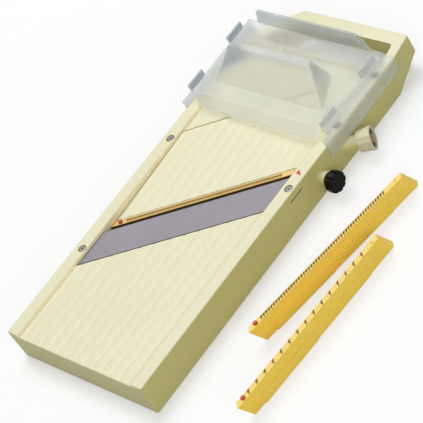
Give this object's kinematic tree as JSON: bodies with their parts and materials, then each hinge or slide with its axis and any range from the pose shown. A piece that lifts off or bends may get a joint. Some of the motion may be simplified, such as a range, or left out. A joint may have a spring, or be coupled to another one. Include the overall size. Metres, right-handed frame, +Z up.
{
  "type": "mandoline slicer",
  "caption": "Wide mandoline slicer with a diagonal blade, a tilting runway set by a side knob, toothed julienne combs and a sliding hand guard with a palm grip.",
  "frame": {"origin": "middle of the frame's front wall, on the table plane under its outer face", "axes": "+X towards the side with the knobs, +Y from the front end to the handle end, +Z up"},
  "size_m": [0.2486, 0.358, 0.0668],
  "materials": {
    "ivory_plastic": "moulded, satin gloss",
    "blade_steel": "fine brushed",
    "fastener_steel": "plated",
    "tooth_steel": "stamped",
    "yellow_plastic": "moulded",
    "red_plastic": "moulded",
    "black_plastic": "moulded",
    "guard_plastic": "frosted"
  },
  "bodies": {
    "frame": {"frame": "ivory_plastic", "blade": "blade_steel", "blade_screws": "fastener_steel", "pivot_rod": "fastener_steel", "pivot_screws": "fastener_steel", "bearing_screw": "fastener_steel"},
    "runway": {"runway_plate": "ivory_plastic", "lift_pins": "fastener_steel"},
    "thickness_knob": {"thickness_knob": "ivory_plastic", "knob_spindle": "fastener_steel", "knob_washer": "black_plastic", "knob_screw": "fastener_steel"},
    "adjusting_bar": {"adjusting_bar": "ivory_plastic"},
    "clamp_pad": {"clamp_pad": "fastener_steel"},
    "thumbscrew": {"thumb_stud": "fastener_steel", "thumb_knob": "black_plastic"},
    "fine_comb": {"fine_comb_bar": "yellow_plastic", "fine_comb_teeth": "tooth_steel", "fine_comb_dot": "red_plastic"},
    "medium_comb": {"medium_comb_bar": "yellow_plastic", "medium_comb_teeth": "tooth_steel", "medium_comb_dot": "red_plastic"},
    "coarse_comb": {"coarse_comb_bar": "yellow_plastic", "coarse_comb_teeth": "tooth_steel", "coarse_comb_dot": "red_plastic"},
    "hand_guard": {"hand_guard": "guard_plastic"}
  },
  "joints": [
    {"name": "thickness_knob_turn", "type": "hinge", "parent": "frame", "child": "thickness_knob", "pos_m": [0.08426, 0.26419, 0.0123], "axis": [0.7986, 0.6018, 0], "range_deg": [0, 720]},
    {"name": "bar_travel", "type": "slide", "parent": "frame", "child": "adjusting_bar", "axis": [0.7986, 0.6018, 0], "range_m": [0, 0.0066]},
    {"name": "runway_tilt", "type": "hinge", "parent": "frame", "child": "runway", "pos_m": [0, 0.26017, 0.02], "axis": [-0.7986, -0.6018, 0], "range_deg": [0, 2.86]},
    {"name": "clamp_travel", "type": "slide", "parent": "frame", "child": "clamp_pad", "axis": [1, 0, 0], "range_m": [0, 0.0016]},
    {"name": "thumbscrew_turn", "type": "hinge", "parent": "clamp_pad", "child": "thumbscrew", "pos_m": [0.08, 0.22489, 0.0125], "axis": [1, 0, 0], "range_deg": [0, 720]},
    {"name": "fine_comb_drop", "type": "slide", "parent": "frame", "child": "fine_comb", "axis": [0, 0, -1], "range_m": [0, 0.0035]},
    {"name": "medium_comb_lift", "type": "slide", "parent": "frame", "child": "medium_comb", "axis": [0, 0, 1], "range_m": [0, 0.06]},
    {"name": "coarse_comb_lift", "type": "slide", "parent": "frame", "child": "coarse_comb", "axis": [0, 0, 1], "range_m": [0, 0.06]},
    {"name": "hand_guard_slide", "type": "slide", "parent": "frame", "child": "hand_guard", "axis": [0, -1, 0], "range_m": [0, 0.19]}
  ],
  "couplings": [
    {"joint": "bar_travel", "follows": "thickness_knob_turn", "m_per_rad": 0.00052521},
    {"joint": "runway_tilt", "follows": "thickness_knob_turn", "ratio": 0.0039772},
    {"joint": "clamp_travel", "follows": "thumbscrew_turn", "m_per_rad": 0.00012732}
  ]
}
